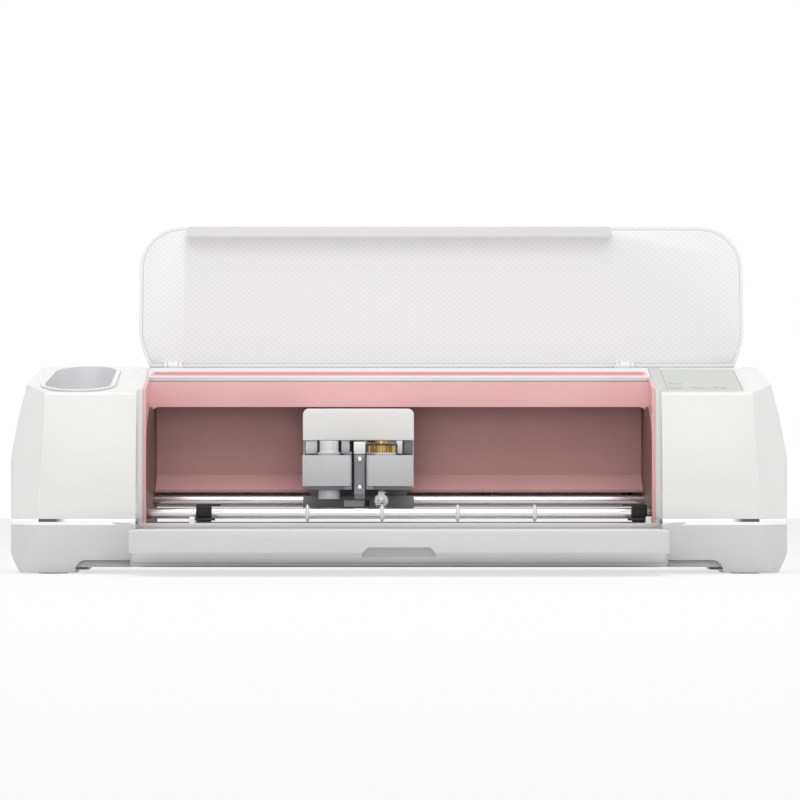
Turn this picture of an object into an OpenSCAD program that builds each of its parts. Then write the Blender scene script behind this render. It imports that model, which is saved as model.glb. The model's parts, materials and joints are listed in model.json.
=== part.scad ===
/* [Body] */
// Width over both towers
body_w = 575; // [560:1:600]
// Depth from the front plane to the rear face
body_d = 180; // [176:1:190]
// Clear width between the tower walls
opening_w = 374; // [360:1:376]
// Wall thickness of the moulded shells
wall = 2.5; // [2:0.1:3]
// Height of the lower skirt
base_h = 35.3; // [34:0.1:36]
// Height of the bright trim strip
trim_h = 4.7; // [4:0.1:5]
// Height of the top surface where it would meet the front plane
top_z = 129.1; // [128:0.1:131]
// Rise of the top surface towards the rear, in degrees
top_slope = 11.2; // [10.5:0.1:12]
// Height of the finger arch under the skirt
arch_h = 10; // [9:0.5:12]
// Width of each foot zone beside the arch
foot_w = 46; // [40:1:52]
// Height of the rubber feet
foot_h = 4.5; // [4.4:0.1:4.7]

/* [Lid] */
// Distance from the hinge axis to the front edge
lid_len = 110.2; // [106:0.1:111]
// Reach of the lid to the left of centre
lid_left = 197; // [192:1:200]
// Reach of the lid to the right of centre
lid_right = 261.5; // [250:0.5:264]
// Thickness of the lid with its inner panel
lid_t = 5.5; // [5:0.1:6]
// Lean of the open lid behind the vertical, in degrees
lid_lean = 12; // [8:0.5:16]
// Depth of the front lip below the inner face
lip_drop = 10; // [8:0.5:10.5]
// Width of the front lip
lip_w = 322; // [300:1:330]

/* [Door] */
// Distance from the hinge axis to the door's front lip
door_len = 104; // [98:1:105]
// Thickness of the door
door_t = 25.3; // [24:0.1:25.5]
// Height of the flat front lip
door_lip = 16.2; // [14:0.1:18]
// Depth of the storage trays in the door
tray_depth = 15; // [12:0.5:17]
// Width of the finger scoop at its mouth
scoop_w = 59; // [50:1:70]

/* [Rollers and rails] */
// Radius of the grit roller
grit_r = 6; // [5.5:0.1:6]
// Radius of the pinch rollers and star wheels
pinch_r = 6.4; // [6:0.1:6.6]
// Radius of the pinch shaft
pinch_shaft_r = 4; // [3.5:0.1:4.2]
// Radius of the lower carriage rail
lower_rail_r = 3; // [2.5:0.1:3.2]
// Radius of the upper carriage rail
upper_rail_r = 4; // [3:0.1:4.5]
// Distance of the roller axes behind the front plane
roller_y = 45; // [44.6:0.1:45.4]
// Distance of the rail axes behind the front plane
rail_y = 88; // [87.8:0.1:88.2]
// Height of the lower rail axis
lower_rail_z = 53.5; // [53:0.1:54]
// Height of the upper rail axis
upper_rail_z = 128.5; // [127.5:0.1:129.5]

/* [Carriage] */
// Width of the carriage
car_w = 82; // [81:0.5:86]
// Centre of the carriage where it stands
car_x = -30; // [-40:1:-20]
// Height of the tool clamps
clamp_h = 25.3; // [24:0.1:26]
// Radius of the pen bore
pen_r = 5.7; // [5:0.1:6]
// Teeth of the blade drive gear
blade_teeth = 20; // [18:1:20]
// Teeth of the carriage pinion that drives it
drive_teeth = 14; // [13:1:15]
// Radius of the rotary blade
blade_r = 5.5; // [5:0.1:6]

/* [Cup and controls] */
// Width of the tool cup's mouth
cup_w = 50; // [44:1:50]
// Length of the tool cup's mouth
cup_l = 98; // [80:1:99]
// Depth of the tool cup below the front edge of the top
cup_depth = 60; // [40:1:64]
// Radius of the buttons
button_r = 4.5; // [4:0.1:5]
// Travel of the buttons
button_travel = 1; // [0.8:0.1:1.5]

/* [Feed drive] */
// Teeth of the roller gear
roller_teeth = 40; // [38:1:40]
// Teeth of the feed motor's pinion
motor_teeth = 12; // [12:1:13]
// Module of the feed gears
feed_module = 1; // [0.95:0.01:1]

/* [Hidden] */

// fits between pieces
gap = 0.3;
run = 0.06;
eps = 0.01;
far = 400;
round_n = 48;

// body outlines: each point is [across, up, corner radius]
half_w = body_w / 2;
half_open = opening_w / 2;
trim_z = base_h + trim_h;
slope = tan(top_slope);
front_lean = 12;
hinge_y = 0.7 * body_d;
ridge_y = hinge_y - 2;
side_lean = 20;
side_round = 305;
foot_clear = 0.8;
function top_at(y) = top_z + slope * y;
shoulder = [body_d - 6, top_at(ridge_y) - 20, 26];
front_edge_r = 3.5;

side_outline = [[0, trim_z - 4, 0], [0, 88, 290], [front_lean, top_at(front_lean), front_edge_r],
    [ridge_y, top_at(ridge_y), 8], shoulder, [body_d, trim_z - 4, 0]];
front_outline = [[-half_w, trim_z - 4, 0], [half_w, trim_z - 4, 0], [half_w, 88, side_round],
    [half_w - side_lean, top_at(ridge_y) + 1, 9], [side_lean - half_w, top_at(ridge_y) + 1, 9],
    [-half_w, 88, side_round]];
corner_in = 23.5;
corner_y = 38;
corner_turn = atan((corner_in - 3.5) / corner_y);
corner_lean = 7.4;
plan_half = [[half_w - corner_in, 0, 10], [half_w - 3.5, corner_y, 45], [half_w, 95, 150],
    [half_w - 5.5, body_d - 30, 50], [half_w - 25.5, body_d, 22]];
plan_outline = concat(plan_half,
    [for (i = [len(plan_half) - 1:-1:0]) [-plan_half[i][0], plan_half[i][1], plan_half[i][2]]]);
base_side = [[10, foot_clear, 0], [0, 17, 60], [0, trim_z, 0], [body_d, trim_z, 0],
    [body_d, 15, 40], [body_d - 8, foot_clear, 0]];
base_front = [[12 - half_w, foot_clear, 0], [-half_w, 16.4, 54], [-half_w, trim_z, 0],
    [half_w, trim_z, 0], [half_w, 16.4, 54], [half_w - 12, foot_clear, 0]];

// door pocket between the towers
door_y = 11;
door_z = 18;
door_half = half_open + 2.5;
door_top = door_z + 14.6;
pocket_half = door_half + 0.7;
pocket_y = door_y + door_top - door_z + 0.9;

// lid hinge
hinge_z = top_at(hinge_y) - 1;
hinge_pin_r = 2;
hinge_groove_r = 7.8;
hinge_at = [-170, 170];
groove_x0 = -half_open - 4;
groove_x1 = lid_right - 4;

// roller stack
mat_gap = 0.3;
grit_z = 31.1;
pinch_z = grit_z + grit_r + mat_gap + pinch_r;
deck_top = grit_z + grit_r - 0.5;
deck_t = 3.6;
jamb_t = 2.4;
jamb_in = half_open - jamb_t;
frame_in = half_open + 9;
frame_t = 2;
shaft_end = frame_in + frame_t + 1;
journal_r = 4;
bush_r = 6;
back_wall_y = hinge_y - 16;

// front band above the opening
tool_y = 60;
band_y = 80;
band_z = 122.3;
band_round = 30;
band_corner = 7;

// belt drive
belt_y = back_wall_y - 10.5;
pulley_r = 5;
belt_in = pulley_r + 0.2;
belt_out = belt_in + 1.2;
belt_z = 124;
belt_w = 6;
drive_x = half_open + 31;
idler_x = -half_open - 14;

// carriage
car_x0 = car_x - car_w / 2;
car_x1 = car_x + car_w / 2;
car_mid = car_x + 1;
clamp_z = 61;
clamp_top = clamp_z + clamp_h;
clamp_front = 42.2;
clamp_face = 47.4;
clamp_back = 70.5;
lever_t = 2.8;
ear_t = 2.3;
lever_pin_r = 1.2;
lever_pin_y = 44.6;
pen_x = car_x - 21.5;
tool_x = car_x + 17;
blade_module = 0.95;
drive_dir = 135;
drive_reach = blade_module * (blade_teeth + drive_teeth) / 2;
pinion_x = tool_x + drive_reach * cos(drive_dir);
pinion_y = tool_y + drive_reach * sin(drive_dir);
pinion_room = blade_module * drive_teeth / 2 + 1.1;
adapter_r = pen_r + 1.15;
housing_r = 9;
neck_r = 7;
turret_r = 2.5;
cover_z = 97.4;
cover_h = 23.4;
blade_z = clamp_z - 8.2;

// feed drive
feed_dir = 50;
feed_reach = feed_module * (roller_teeth + motor_teeth) / 2;
feed_y = roller_y + feed_reach * cos(feed_dir);
feed_z = grit_z + feed_reach * sin(feed_dir);
roller_gear_x = shaft_end + 0.6;
gear_w = 5;

// cup and panel, measured along the sloping top
cup_x = -half_open - 49;
cup_y = 68;
cup_wall = 2;
panel_x0 = pocket_half + wall + 3;
panel_x1 = half_open + 63;
panel_y0 = 16.5;
panel_y1 = hinge_y - 12;
panel_round = 6;
panel_sink = 0.1;
button_y = 35.3;
button_places = [[half_open + 16, 52.6], [half_open + 15.5, button_y], [half_open + 31.5, button_y],
    [half_open + 47.5, button_y]];

// feet
foot_x = half_w - 35;
foot_y = 34;
foot_r = 11;

// colours
white = [0.93, 0.93, 0.92];
pale = [0.82, 0.82, 0.82];
pink = [0.88, 0.69, 0.69];
wall_pink = [0.5, 0.36, 0.36];
bright = [0.9, 0.9, 0.92];
steel = [0.7, 0.7, 0.72];
dark = [0.25, 0.25, 0.27];
black = [0.08, 0.08, 0.08];
brass = [0.8, 0.62, 0.3];
board = [0.1, 0.35, 0.2];

// the origin is the middle of the footprint with the door lowered
centre_y = (body_d + door_y - door_len) / 2;
module placed() translate([0, -centre_y, 0]) children();

// ---- outlines ----
function unit(v) = v / norm(v);
function turned(v, a) = [v.x * cos(a) - v.y * sin(a), v.x * sin(a) + v.y * cos(a)];
function polar(r, a) = [r * cos(a), r * sin(a)];

function corner(a, b, c, steps) =
    let (p = [b.x, b.y], r = b[2])
    r <= 0 ? [p] :
    let (u = unit([a.x, a.y] - p), v = unit([c.x, c.y] - p), half = acos(u * v) / 2,
        mid = p + unit(u + v) * r / sin(half),
        from = p + u * r / tan(half) - mid, to = p + v * r / tan(half) - mid,
        turn = sign(cross(from, to)) * (180 - 2 * half))
    [for (i = [0:steps]) mid + turned(from, turn * i / steps)];

function rounded(pts, steps = 6) =
    let (n = len(pts))
    [for (i = [0:n - 1]) each corner(pts[(i + n - 1) % n], pts[i], pts[(i + 1) % n], steps)];

// a convex outline moved inwards by t
function inset(pts, t) =
    let (n = len(pts))
    [for (i = [0:n - 1])
        let (p = [pts[i].x, pts[i].y], a = pts[(i + n - 1) % n], c = pts[(i + 1) % n],
            u = unit([a.x, a.y] - p), v = unit([c.x, c.y] - p), half = acos(u * v) / 2,
            q = p + unit(u + v) * t / sin(half))
        [q.x, q.y, max(pts[i][2] - t, 0)]];

function box_outline(x0, x1, y0, y1, r) = [[x0, y0, r], [x1, y0, r], [x1, y1, r], [x0, y1, r]];

// ---- solids from outlines ----
module along_x(pts, x0, x1) translate([x0, 0, 0]) rotate([90, 0, 90]) linear_extrude(x1 - x0)
    polygon(rounded(pts));
module along_y(pts, y0, y1) translate([0, y1, 0]) rotate([90, 0, 0]) linear_extrude(y1 - y0)
    polygon(rounded(pts));
module along_z(pts, z0, z1, steps = 6) translate([0, 0, z0]) linear_extrude(z1 - z0)
    polygon(rounded(pts, steps));
module block(x0, x1, y0, y1, z0, z1) translate([x0, y0, z0]) cube([x1 - x0, y1 - y0, z1 - z0]);
module rod_x(r, x0, x1, y, z) translate([x0, y, z]) rotate([0, 90, 0])
    cylinder(r = r, h = x1 - x0, $fn = round_n);
module rod_y(r, y0, y1, x, z) translate([x, y1, z]) rotate([90, 0, 0])
    cylinder(r = r, h = y1 - y0, $fn = round_n);
module rod_z(r, z0, z1, x, y) translate([x, y, z0]) cylinder(r = r, h = z1 - z0, $fn = round_n);

// local frame of the sloping top: y runs up the slope, z is its normal
module on_top() translate([0, 0, top_z]) rotate([top_slope, 0, 0]) children();
// local frame of the open lid: y runs from the hinge to the front edge, z leaves the inner face
module in_lid() translate([0, hinge_y, hinge_z]) rotate([90 - lid_lean, 0, 0]) children();

// what the leaning plane between front and side takes off a front corner
module corner_cut(t) for (side = [0, 1]) mirror([side, 0, 0])
    translate([half_w - corner_in, 0, trim_z]) rotate([0, 0, -corner_turn])
        rotate([0, -corner_lean, 0]) block(-t, far, -far, far, -far, far);
// the whole upper body, moved inwards by t
module upper_form(t) difference() {
    intersection() {
        along_x(inset(side_outline, t), -far, far);
        along_y(inset(front_outline, t), -eps, body_d + eps);
        along_z(inset(plan_outline, t), 0, far);
    }
    corner_cut(t);
}
// the whole lower skirt, moved inwards by t
module lower_form(t) intersection() {
    along_x(inset(base_side, t), -far, far);
    along_y(inset(base_front, t), -eps, body_d + eps);
    along_z(inset(plan_outline, t), -eps, far);
}
module hinge_groove(r) rod_x(r, groove_x0, groove_x1, hinge_y, hinge_z);
module door_pocket(grow) block(-pocket_half - grow, pocket_half + grow, -far, pocket_y + grow,
    -eps, far);

// ---- gears ----
addendum = 0.8;
dedendum = 1.1;
pressure = 20;
backlash = 0.06;
flank_steps = 4;
function roll(base_r, r) = sqrt(max(pow(r / base_r, 2) - 1, 0));
function flank(base_r, r) = roll(base_r, r) * 180 / PI - atan(roll(base_r, r));
function gear_outline(teeth, m, phase) =
    let (pitch_r = teeth * m / 2, base_r = pitch_r * cos(pressure), tip_r = pitch_r + addendum * m,
        root_r = pitch_r - dedendum * m, start_r = max(base_r, root_r),
        half = 90 / teeth - backlash / pitch_r * 180 / PI + flank(base_r, pitch_r))
    [for (k = [0:teeth - 1]) let (mid = phase + 360 * k / teeth) each concat(
        [polar(root_r, mid - half)],
        [for (i = [0:flank_steps]) let (r = start_r + (tip_r - start_r) * i / flank_steps)
            polar(r, mid - half + flank(base_r, r))],
        [for (i = [flank_steps:-1:0]) let (r = start_r + (tip_r - start_r) * i / flank_steps)
            polar(r, mid + half - flank(base_r, r))],
        [polar(root_r, mid + half)])];
module gear(teeth, m, width, phase, bore) linear_extrude(width) difference() {
    polygon(gear_outline(teeth, m, phase));
    if (bore > 0) circle(r = bore, $fn = round_n);
}
// a gear whose axis runs along X; its phase is measured from +Y towards +Z
module gear_x(teeth, m, width, phase, bore, x, y, z) translate([x, y, z]) rotate([90, 0, 90])
    gear(teeth, m, width, phase, bore);

// ---- housing ----
foot_in = 7;
arch_r = 8;
function arch_outline(a0, a1) = [[a0, -1, 0], [a0, arch_h, arch_r], [a1, arch_h, arch_r], [a1, -1, 0]];
module base_tray() placed() color(pale) difference() {
    lower_form(0);
    difference() {
        lower_form(wall);
        door_pocket(wall);
    }
    door_pocket(0);
    block(-far, far, -1, body_d + 1, base_h, far);
    along_y(arch_outline(foot_w + foot_in - half_w, half_w - foot_w - foot_in), -1, body_d + 1);
    along_x(arch_outline(foot_w, body_d - foot_w), -far, far);
    feet(foot_r + 0.2, wall + foot_clear + 0.1);
    block(-frame_in, frame_in, pocket_y - 1, pocket_y + wall + 0.2, deck_top - deck_t, far);
    for (side = [-1, 1]) rod_x(hinge_pin_r + 0.5, min(side * door_half, side * far),
        max(side * door_half, side * far / 2), door_y, door_z);
}

pan_in = 13;
pan_z = foot_h + 0.4;
pan_t = 2.1;
pan_h = 4.9;
screw_r = 3;
module bottom_pan() placed() color(pale) difference() {
    along_z(inset(plan_outline, pan_in), pan_z, pan_z + pan_h);
    along_z(inset(plan_outline, pan_in + wall), pan_z + pan_t, far);
    block(-pocket_half - wall, pocket_half + wall, -far, pocket_y + wall + gap, pan_z + pan_t, far);
    for (side = [-1, 1]) block(side * (pocket_half + wall / 2) - wall, side * (pocket_half + wall / 2)
        + wall, 0, pocket_y + wall + gap, 0, far);
    screws(screw_r, foot_h - 1, foot_h + 2);
}

module feet(r, h) for (side = [-1, 1]) for (y = [foot_y, body_d - foot_y])
    rod_z(r, 0, h, side * foot_x, y);
module rubber_feet() placed() color(dark) feet(foot_r, foot_h);

screw_share = [-0.7, -0.25, 0.25, 0.7];
screw_y = [52, body_d - 24];
module screws(r, z0, z1) for (x = screw_share * half_w) for (y = screw_y) rod_z(r, z0, z1, x, y);
module pan_screws() placed() color(steel) screws(screw_r, foot_h + 0.4, foot_h + 2);

module chrome_trim() placed() color(bright) difference() {
    intersection() {
        along_x(inset([[0, 0, 0], [0, far, 0], [body_d, far, 0], [body_d, 0, 0]], 0.4), -far, far);
        along_z(inset(plan_outline, 0.4), base_h, trim_z);
    }
    along_z(inset(plan_outline, wall + 1.5), 0, far);
    block(-pocket_half, pocket_half, -1, body_d + 1, 0, far);
}

module tower(x0, x1) difference() {
    intersection() {
        upper_form(0);
        block(x0, x1, -1, body_d + 1, trim_z, far);
    }
    difference() {
        upper_form(wall);
        block(-half_open - 3, half_open + 3, -1, body_d + 1, 0, far);
        door_pocket(wall);
        hinge_groove(hinge_groove_r + wall);
        on_top() block(-far, far, -far, far, -wall, far);
    }
    door_pocket(0);
    hinge_groove(hinge_groove_r);
    for (side = [-1, 1]) {
        rod_x(lower_rail_r + 1, side * half_open - 4, side * half_open + 4, rail_y, lower_rail_z);
        rod_x(upper_rail_r + 1, side * half_open - 4, side * half_open + 4, rail_y, upper_rail_z);
        rod_x(pinch_shaft_r + 1, side * half_open - 4, side * half_open + 4, roller_y, pinch_z);
        block(side * half_open - 4, side * half_open + 4, belt_y - 9, belt_y + 9, belt_z - 3,
            belt_z + belt_w + 3);
    }
}
panel_outline = box_outline(panel_x0, panel_x1, panel_y0, panel_y1, panel_round);
module left_tower_shell() placed() color(white) difference() {
    tower(-half_w - 1, -half_open);
    along_z(inset(cup_outline, -cup_wall), cup_floor - 1, far, 12);
}
module right_tower_shell() placed() color(white) difference() {
    tower(half_open, half_w + 1);
    on_top() along_z(inset(panel_outline, -gap), -8, 5);
}

cover_front = (band_y - 0.5) / cos(top_slope);
cover_rear = (hinge_y - hinge_groove_r) / cos(top_slope) - wall * slope;
cover_lip = 3.6;
slot_y = 87.5;
slot_w = 14;
wall_reach = 9;
slot_depth = 8;
slot_half = half_open - 5;
module top_cover() placed() color(white) on_top() difference() {
    union() {
        block(gap - half_open, half_open - gap, cover_front, cover_rear, -wall, 0);
        block(gap - half_open, half_open - gap, cover_front, cover_front + 2, -cover_lip, 0);
    }
    block(-slot_half - 2, slot_half + 2, slot_y - 2, slot_y + slot_w + 2, -far, far);
}
module docking_tray() placed() color(pink) on_top() difference() {
    block(-slot_half - 2, slot_half + 2, slot_y - 2, slot_y + slot_w + 2, -slot_depth - 2, 0);
    along_z(box_outline(-slot_half, slot_half, slot_y, slot_y + slot_w, 2), -slot_depth, 1);
}

cheek_y0 = pocket_y + wall;
cheek_w = 5;
cheek_outline = [[cheek_y0, deck_top, 0], [cheek_y0 + cheek_w, deck_top, 0],
    [cheek_y0 + cheek_w, band_z, band_round], [band_y + wall, band_z, 0],
    [band_y + wall, top_at(band_y) - cover_lip - 0.2, 0], [band_y - 1, top_at(band_y) - cover_lip - 0.2, 0],
    [band_y - 1, top_at(band_y - 1) - 0.3, 0], [cheek_y0, top_at(cheek_y0) - 0.3, 0]];
module pink_band() placed() color(pink) {
    block(-jamb_in - 0.2, jamb_in + 0.2, band_y, band_y + wall, band_z,
        top_at(band_y) - cover_lip - 0.2);
    for (x = [-half_open, jamb_in]) along_x(cheek_outline, x, x + jamb_t);
    for (side = [0, 1]) mirror([side, 0, 0]) difference() {
        block(jamb_in - band_corner, jamb_in + 0.2, band_y, band_y + wall, band_z - band_corner,
            band_z + 0.2);
        rod_y(band_corner, 0, far, jamb_in - band_corner, band_z - band_corner);
    }
}

ledge_y = back_wall_y - 11;
ledge_z = 61;
ledge_back_z = 72;
liner_taper = 3.6;
liner_y0 = cheek_y0 + cheek_w + gap;
liner_y1 = back_wall_y + 2;
liner_top = top_at(back_wall_y) - wall - 1;
liner_side = [[liner_y0, deck_top, 0], [liner_y1, deck_top, 0], [liner_y1, liner_top, 0],
    [band_y + wall + gap, top_at(band_y) - wall - 1, 0], [band_y + wall + gap, band_z - gap, 0],
    [liner_y0, band_z - gap, band_round]];
module cavity_liner() placed() color(wall_pink) difference() {
    union() {
        block(-half_open, half_open, back_wall_y, back_wall_y + 2, ledge_back_z,
            top_at(back_wall_y) - wall - 1);
        along_x([[back_wall_y, ledge_back_z, 0], [ledge_y, ledge_z, 0], [ledge_y, ledge_z - 2, 0],
            [back_wall_y + 2, ledge_back_z - 4, 0], [back_wall_y + 2, ledge_back_z, 0]],
            -half_open, half_open);
        for (side = [-1, 1]) intersection() {
            along_x(liner_side, -half_open, half_open);
            along_z([[side * half_open, liner_y0, 0], [side * half_open, liner_y1, 0],
                [side * (jamb_in - liner_taper), liner_y1, 0], [side * jamb_in, liner_y0, 0]], 0, far);
        }
    }
    on_top() block(-slot_half - 2 - gap, slot_half + 2 + gap, slot_y - 2 - gap, slot_y + slot_w + 2 + gap,
        -slot_depth - 2 - gap, far);
    block(-half_open, half_open, band_y - gap, band_y + wall + gap, band_z - band_corner - gap, far);
    for (side = [-1, 1]) {
        x0 = side * half_open - wall_reach;
        x1 = side * half_open + wall_reach;
        rod_x(grit_r + 0.6, x0, x1, roller_y, grit_z);
        rod_x(lower_rail_r + 1, x0, x1, rail_y, lower_rail_z);
        rod_x(upper_rail_r + 1, x0, x1, rail_y, upper_rail_z);
        rod_x(pinch_shaft_r + 1, x0, x1, roller_y, pinch_z);
        block(x0, x1, belt_y - 9, belt_y + 9, belt_z - 3,
            belt_z + belt_w + 3);
    }
}

exit_z = 48;
exit_roof_t = 2;
usb_x = 150;
usb_z = 72;
jack_x = 120;
port_z = 66;
module rear_cover() placed() color(white) difference() {
    intersection() {
        upper_form(0);
        block(gap - half_open, half_open - gap, hinge_y - hinge_groove_r + gap, body_d + 1,
            exit_z, far);
    }
    difference() {
        upper_form(wall);
        hinge_groove(hinge_groove_r + wall);
        block(-far, far, 0, far, 0, exit_z + exit_roof_t);
    }
    hinge_groove(hinge_groove_r);
    block(usb_x - 6.2, usb_x + 6.2, body_d - 10, body_d + 1, port_z + 1.6, port_z + 12.8);
    rod_y(5.2, body_d - 10, body_d + 1, jack_x, port_z + 7.2);
}

cup_taper = 7;
cup_outline = [[cup_x - cup_w / 2, cup_y - cup_l / 2, 24], [cup_x + cup_w / 2, cup_y - cup_l / 2, 20],
    [cup_x + cup_w / 2, cup_y + cup_l / 2, 18], [cup_x - cup_w / 2 + cup_taper, cup_y + cup_l / 2, 24]];
cup_rim = 3.5;
cup_rim_t = 1.2;
cup_floor = top_z - cup_depth;
module tool_cup() placed() color(pale) difference() {
    union() {
        intersection() {
            along_z(inset(cup_outline, -cup_wall), cup_floor, far, 12);
            on_top() block(-far, far, -far, far, -far, 0.5);
        }
        intersection() {
            along_z(inset(cup_outline, -cup_rim), cup_floor, far, 12);
            on_top() block(-far, far, -far, far, 0.1, cup_rim_t);
        }
    }
    along_z(cup_outline, cup_floor + cup_wall, far, 12);
}

module control_panel() placed() color(pale) on_top() difference() {
    along_z(panel_outline, -wall - panel_sink, -panel_sink);
    for (p = button_places) rod_z(button_r + gap, -far, far, p.x, p.y);
}

button_flange = 1.2;
button_stand = 0.3;
module button(n) placed() color(white) on_top() {
    low = -wall - panel_sink - gap - button_flange;
    rod_z(button_r, low, button_stand, button_places[n].x, button_places[n].y);
    rod_z(button_r + button_flange, low, low + button_flange, button_places[n].x, button_places[n].y);
}
module power_button() button(0);
module load_button() button(1);
module pause_button() button(2);
module go_button() button(3);

// ---- feed deck and frames ----
module deck_plate() placed() color(pale) {
    block(0.2 - frame_in, frame_in - 0.2, pocket_y, roller_y - grit_r - 0.6, deck_top - deck_t,
        deck_top);
    block(0.2 - frame_in, frame_in - 0.2, roller_y + grit_r + 0.6, body_d - wall - 4,
        deck_top - deck_t, deck_top);
}

guide_x = [-151, 182];
guide_w = 4;
module mat_guides() placed() color(dark)
    for (x = guide_x) along_x([[pocket_y + 1, deck_top, 0], [pocket_y + 2, deck_top + 5, 1],
        [roller_y - grit_r - 1, deck_top + 3, 1], [roller_y - grit_r - 1, deck_top, 0]],
        x - guide_w / 2, x + guide_w / 2);

module side_frame(side) {
    x0 = side > 0 ? frame_in : -frame_in - frame_t;
    difference() {
        along_x([[pocket_y + 4, foot_h + wall, 0], [back_wall_y + 8, foot_h + wall, 0],
            [back_wall_y + 8, belt_z + 12, 4], [pocket_y + 36, belt_z + 12, 12],
            [pocket_y + 4, 70, 12]], x0, x0 + frame_t);
        rod_x(bush_r, x0 - 1, x0 + frame_t + 1, roller_y, grit_z);
        rod_x(bush_r, x0 - 1, x0 + frame_t + 1, roller_y, pinch_z);
        rod_x(lower_rail_r, x0 - 1, x0 + frame_t + 1, rail_y, lower_rail_z);
        rod_x(upper_rail_r, x0 - 1, x0 + frame_t + 1, rail_y, upper_rail_z);
        block(x0 - 1, x0 + frame_t + 1, belt_y - 8.5, belt_y + 8.5, belt_z - 3,
            belt_z + belt_w + 3);
    }
}
module side_frames() placed() color(steel) for (side = [-1, 1]) side_frame(side);

module carriage_rails() placed() color(bright) {
    rod_x(lower_rail_r, -shaft_end, shaft_end, rail_y, lower_rail_z);
    rod_x(upper_rail_r, -shaft_end, shaft_end, rail_y, upper_rail_z);
}

module roller_bushings() placed() color(black)
    for (side = [-1, 1]) for (z = [grit_z, pinch_z]) {
        r = z == grit_z ? journal_r : pinch_shaft_r;
        mid = side * (frame_in + frame_t / 2);
        difference() {
            rod_x(bush_r, mid - frame_t / 2, mid + frame_t / 2, roller_y, z);
            rod_x(r + run, mid - 5, mid + 5, roller_y, z);
        }
    }

module grit_roller() placed() color(steel) {
    rod_x(grit_r, -jamb_in + 1, jamb_in - 1, roller_y, grit_z);
    rod_x(journal_r, -shaft_end, roller_gear_x + gear_w, roller_y, grit_z);
}
module roller_gear() placed() color(white)
    gear_x(roller_teeth, feed_module, gear_w, feed_dir, journal_r, roller_gear_x, roller_y, grit_z);

roller_at = [-143, 176];
roller_w = 11;
module pinch_shaft() placed() color(bright)
    rod_x(pinch_shaft_r, -shaft_end, shaft_end, roller_y, pinch_z);
module pinch_rollers() placed() color(black)
    for (x = roller_at) difference() {
        rod_x(pinch_r, x - roller_w / 2, x + roller_w / 2, roller_y, pinch_z);
        rod_x(pinch_shaft_r, x - roller_w, x + roller_w, roller_y, pinch_z);
    }

star_at = [-67, -12.4, 43, 99.4];
star_w = 4.4;
star_points = 24;
module star_wheel(n) placed() color(white)
    translate([star_at[n] - star_w / 2, roller_y, pinch_z]) rotate([90, 0, 90]) difference() {
        union() {
            cylinder(r = pinch_r - 0.8, h = star_w, $fn = round_n);
            translate([0, 0, 1.2]) linear_extrude(star_w - 2.4)
                polygon([for (i = [0:2 * star_points - 1])
                    polar(pinch_r - (i % 2) * 0.7, i * 180 / star_points)]);
        }
        translate([0, 0, -1]) cylinder(r = pinch_shaft_r + run, h = star_w + 2, $fn = round_n);
    }
module star_wheel_1() star_wheel(0);
module star_wheel_2() star_wheel(1);
module star_wheel_3() star_wheel(2);
module star_wheel_4() star_wheel(3);

// ---- feed drive ----
feed_motor_r = 15;
feed_motor_l = 32;
feed_plate_x = roller_gear_x + gear_w + 2;
feed_shaft_r = 2;
module motor_pinion() placed() color(brass) {
    gear_x(motor_teeth, feed_module, gear_w, feed_dir + 180 + 180 / motor_teeth, 0, roller_gear_x,
        feed_y, feed_z);
    rod_x(feed_shaft_r, roller_gear_x + gear_w, feed_plate_x + 2 + feed_motor_l / 2, feed_y, feed_z);
}
module feed_motor() placed() color(dark) difference() {
    rod_x(feed_motor_r, feed_plate_x + 2, feed_plate_x + 2 + feed_motor_l, feed_y, feed_z);
    rod_x(feed_shaft_r + run, feed_plate_x + 1, feed_plate_x + 3 + feed_motor_l / 2, feed_y,
        feed_z);
}

// ---- belt drive ----
x_motor_r = 17;
x_motor_l = 38;
x_plate_z = belt_z - 6;
x_shaft_r = 2.5;
module x_motor() placed() color(dark) difference() {
    rod_z(x_motor_r, x_plate_z - x_motor_l, x_plate_z, drive_x, belt_y);
    rod_z(x_shaft_r + run, x_plate_z - x_motor_l / 2, x_plate_z + 1, drive_x, belt_y);
}
module pulley(x, flange_r) {
    rod_z(pulley_r, belt_z - 1.4, belt_z + belt_w + 1.4, x, belt_y);
    rod_z(flange_r, belt_z - 1.4, belt_z - 0.4, x, belt_y);
    rod_z(flange_r, belt_z + belt_w + 0.4, belt_z + belt_w + 1.4, x, belt_y);
}
module x_drive_pulley() placed() color(steel) {
    pulley(drive_x, belt_out + 1);
    rod_z(x_shaft_r, x_plate_z - x_motor_l / 2 + 1, belt_z, drive_x, belt_y);
}
idler_pin_r = 1.5;
module x_idler_pulley() placed() color(steel) difference() {
    pulley(idler_x, pulley_r);
    rod_z(idler_pin_r + run, 0, far, idler_x, belt_y);
}
module motor_brackets() placed() color(steel) {
    difference() {
        along_x([[feed_y - 18, foot_h + wall, 0], [feed_y + 18, foot_h + wall, 0],
            [feed_y + 18, feed_z + 18, 6], [feed_y - 18, feed_z + 18, 6]],
            feed_plate_x, feed_plate_x + 2);
        rod_x(6, feed_plate_x - 1, feed_plate_x + 3, feed_y, feed_z);
    }
    difference() {
        block(frame_in + frame_t, drive_x + x_motor_r, belt_y - x_motor_r - 1,
            belt_y + x_motor_r + 1, x_plate_z, x_plate_z + 2);
        rod_z(6, x_plate_z - 1, x_plate_z + 3, drive_x, belt_y);
    }
    block(idler_x - pulley_r, -frame_in - frame_t, belt_y - 9, belt_y + 9, x_plate_z,
        x_plate_z + 2);
    rod_z(idler_pin_r, x_plate_z, belt_z + belt_w + 3, idler_x, belt_y);
}

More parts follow.
